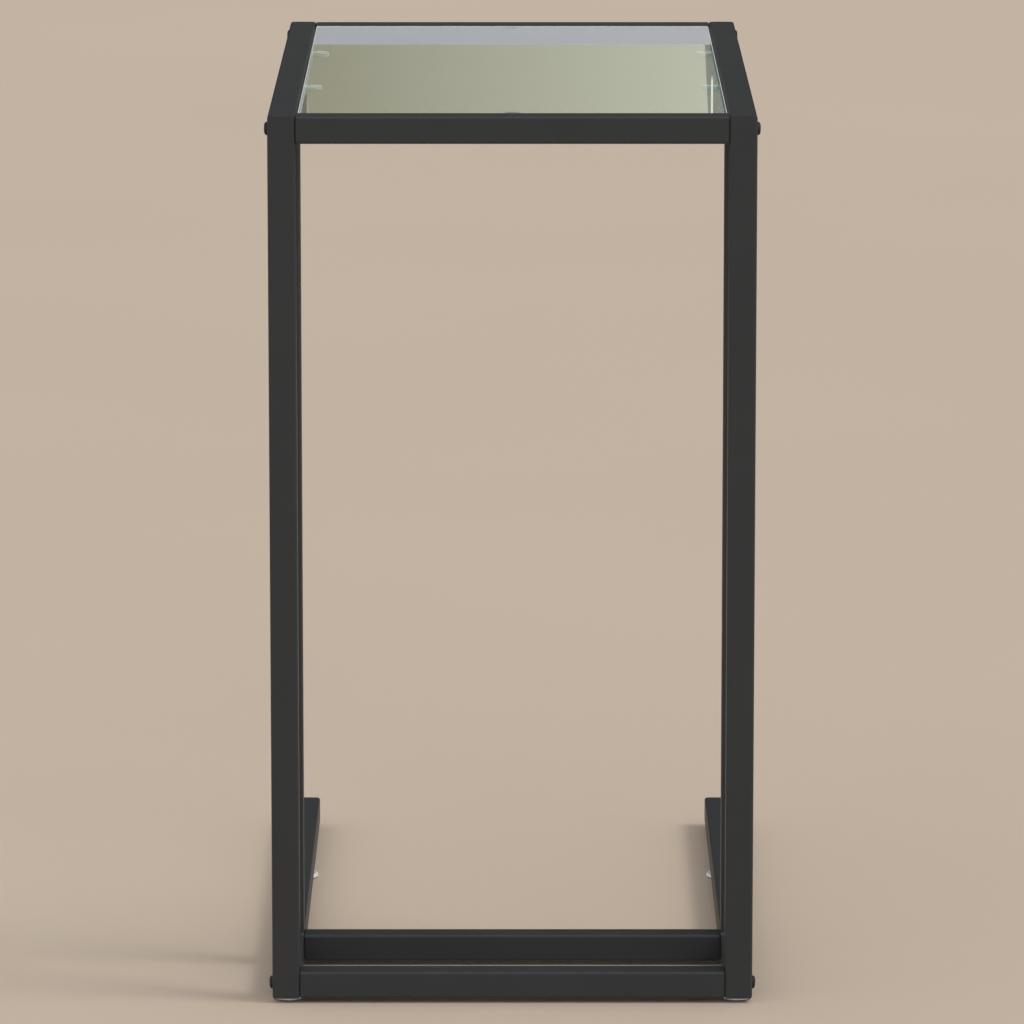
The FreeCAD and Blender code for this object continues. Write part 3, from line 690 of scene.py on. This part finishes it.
sun = bpy.data.objects.new("sun", bpy.data.lights.new("sun", "SUN"))
sun.data.energy = 1.0
sun.data.angle = math.radians(20)
sun.data.color = (1.0, 0.985, 0.96)
sun.rotation_euler = (math.radians(8), math.radians(38), 0)
bpy.context.scene.collection.objects.link(sun)
studio_sky()


# ---- Sheets beyond the table
# Two upright sheets that only reflections show. The glass mirrors the near one, a wall with a pale band
# and a dim field above it. The far one, a drape behind the wall, keeps the steel's upper faces dark.

def far_sheet(name, y, half_width, low, high, material):
    """An upright sheet at y, from left to right and from low to high, that only reflections show."""
    x, z = np.meshgrid((-half_width, half_width), (low, high))
    sheet = open_sheet(name, np.stack((x, 0 * x + y, z), axis=-1), material)
    sheet.visible_camera = sheet.visible_diffuse = sheet.visible_shadow = False
    return sheet


def glow(name):
    """A finish that only shines."""
    return Finish(name, {"Base Color": (0, 0, 0, 1), "Specular IOR Level": 0.0, "Emission Strength": 1.0})


def between(place, start, end, soft=0.001):
    """1 where a place lies between start and end, with soft edges, the first after and the last before."""
    return place.step(start, start + soft) * (1 - place.step(end - soft, end))


def far_wall():
    """The wall's light by place. Above a white foot come a pale band and then a dim field, and both grow
    lighter to the right. At the field's left a grey edge slants away, with a dark corner and an upright
    glint in the gap; at its right stands a leaning shade with one bright upright line."""
    field_left = (0.216, 0.236, 0.178, 1)
    field_right = (0.508, 0.546, 0.462, 1)
    band_left = (0.585, 0.600, 0.637, 1)
    band_right = (0.652, 0.647, 0.705, 1)
    foot_white = (0.98, 1.00, 1.00, 1)
    edge_grey = (0.46, 0.48, 0.50, 1)
    corner_black = (0.0, 0.02, 0.02, 1)
    glint_grey = (0.27, 0.29, 0.29, 1)
    shade_blue = (0.118, 0.165, 0.170, 1)
    line_white = (0.93, 1.00, 0.90, 1)
    level, band_height, half_width = 0.942, 0.019, 0.215
    edge_slant, shade_lean = 0.21, 0.054
    field_fade, band_fade = 2.36, 2.3
    finish = glow("far_wall")
    across, _, up = finish.direction("Object")
    rise = up - level
    slanting = across + rise * edge_slant
    leaning = across - rise * shade_lean
    field = finish.mixed((across + half_width) * field_fade, field_left, field_right)
    shade = leaning.step(0.2114, 0.2126)
    field = finish.mixed(shade, field, shade_blue)
    line = between(across, 0.2188, 0.2218) * rise.step(0.034, 0.043)
    field = finish.mixed(line, field, line_white)
    corner = (1 - across.step(-0.2272, -0.2255)) * rise.step(0.052, 0.060)
    field = finish.mixed(corner, field, corner_black)
    glint = between(across, -0.2272, -0.2238) * rise.step(0.055, 0.075)
    field = finish.mixed(glint, field, glint_grey)
    edge = 1 - slanting.step(-0.2176, -0.2164)
    field = finish.mixed(edge, field, edge_grey)
    band = finish.mixed((across + half_width) * band_fade, band_left, band_right)
    colour = finish.mixed(rise.step(0.0005, 0.0019), band, field)
    colour = finish.mixed(rise.step(-band_height, -0.0178), foot_white, colour)
    finish.set({"Emission Color": colour})
    return finish.material


def dark_drape():
    """Cloth that is nearly black, in slow folds of noise."""
    black = (0.024, 0.024, 0.018, 1)
    paler = (0.032, 0.032, 0.024, 1)
    finish = glow("dark_drape")
    finish.set({"Emission Color": finish.mixed(finish.noise(0.5), black, paler)})
    return finish.material


far_sheet("far_wall", y=2.5, half_width=0.45, low=0.88, high=1.06, material=far_wall())
drape = far_sheet("dark_drape", y=2.6, half_width=5.0, low=0.0, high=4.5, material=dark_drape())
drape.visible_transmission = False


# ---- Camera
# A long lens far in front of the table, 1.33 m up and looking down by less than 11 degrees, which keeps the
# upright tubes upright and nearly parallel.

scene = bpy.context.scene
scene.view_settings.view_transform = "Standard"

LOOKING_DOWN = 10.781    # degrees below level
camera = bpy.data.objects.new("camera", bpy.data.cameras.new("camera"))
camera.data.sensor_width = 36.0
camera.data.lens = 252.35
camera.data.clip_end = 200.0
camera.location = (-0.00025, -5.3613, 1.3321)
camera.rotation_euler = (math.radians(90 - LOOKING_DOWN), 0, 0)
scene.collection.objects.link(camera)
scene.camera = camera
